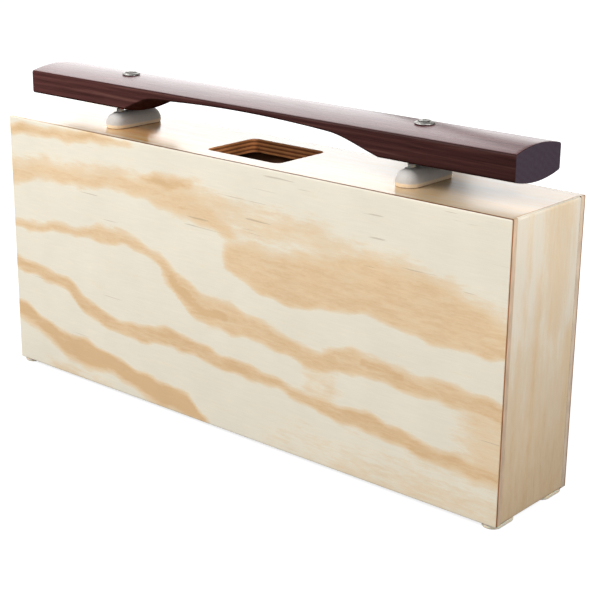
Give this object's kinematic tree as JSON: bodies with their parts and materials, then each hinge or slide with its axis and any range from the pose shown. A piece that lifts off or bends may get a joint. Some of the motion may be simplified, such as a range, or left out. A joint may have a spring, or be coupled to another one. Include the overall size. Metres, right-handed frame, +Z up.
{
  "type": "resonator bar",
  "caption": "Crowned hardwood tone bar screwed on soft supports over a tall plywood resonance box with a sound hole; struck with a mallet to sound one bass note.",
  "frame": {"origin": "on the floor, under the middle of the resonance box", "axes": "+X along the bar to its right end, +Y from the front of the box to its back, +Z up"},
  "size_m": [0.55, 0.099, 0.2883],
  "materials": {
    "rosewood": "oiled, fine lengthwise grain, soft sheen",
    "frame_ply": "satin lacquer over many-ply board, plies showing at cut edges",
    "face_ply": "satin lacquer over flame-grained three-ply pine board",
    "hardwood": "planed, raw",
    "foam": "soft foam rubber, matt",
    "pale_rubber": "pale translucent rubber",
    "nickel": "nickel plate"
  },
  "bodies": {
    "box": {"top_panel": "frame_ply", "bottom_panel": "frame_ply", "left_end_panel": "frame_ply", "right_end_panel": "frame_ply", "front_panel": "face_ply", "back_panel": "face_ply", "screw_block_left": "hardwood", "screw_block_right": "hardwood", "foot_front_left": "pale_rubber", "foot_front_right": "pale_rubber", "foot_back_left": "pale_rubber", "foot_back_right": "pale_rubber", "support_cushion_left": "foam", "support_cushion_right": "foam", "support_stud_left_front": "pale_rubber", "support_stud_left_back": "pale_rubber", "support_stud_right_front": "pale_rubber", "support_stud_right_back": "pale_rubber", "bar_screw_left": "nickel", "bar_screw_right": "nickel", "cup_washer_left": "nickel", "cup_washer_right": "nickel"},
    "bar": {"tone_bar": "rosewood", "bar_sleeve_left": "pale_rubber", "bar_sleeve_right": "pale_rubber"}
  },
  "joints": [
    {"name": "bar_press", "type": "slide", "parent": "box", "child": "bar", "axis": [0, 0, 1], "range_m": [-0.0015, 0], "stiffness_N_per_m": 12000, "springref_m": 0.0008, "deforming": ["support_stud_left_front", "support_stud_left_back", "support_stud_right_front", "support_stud_right_back"]}
  ]
}
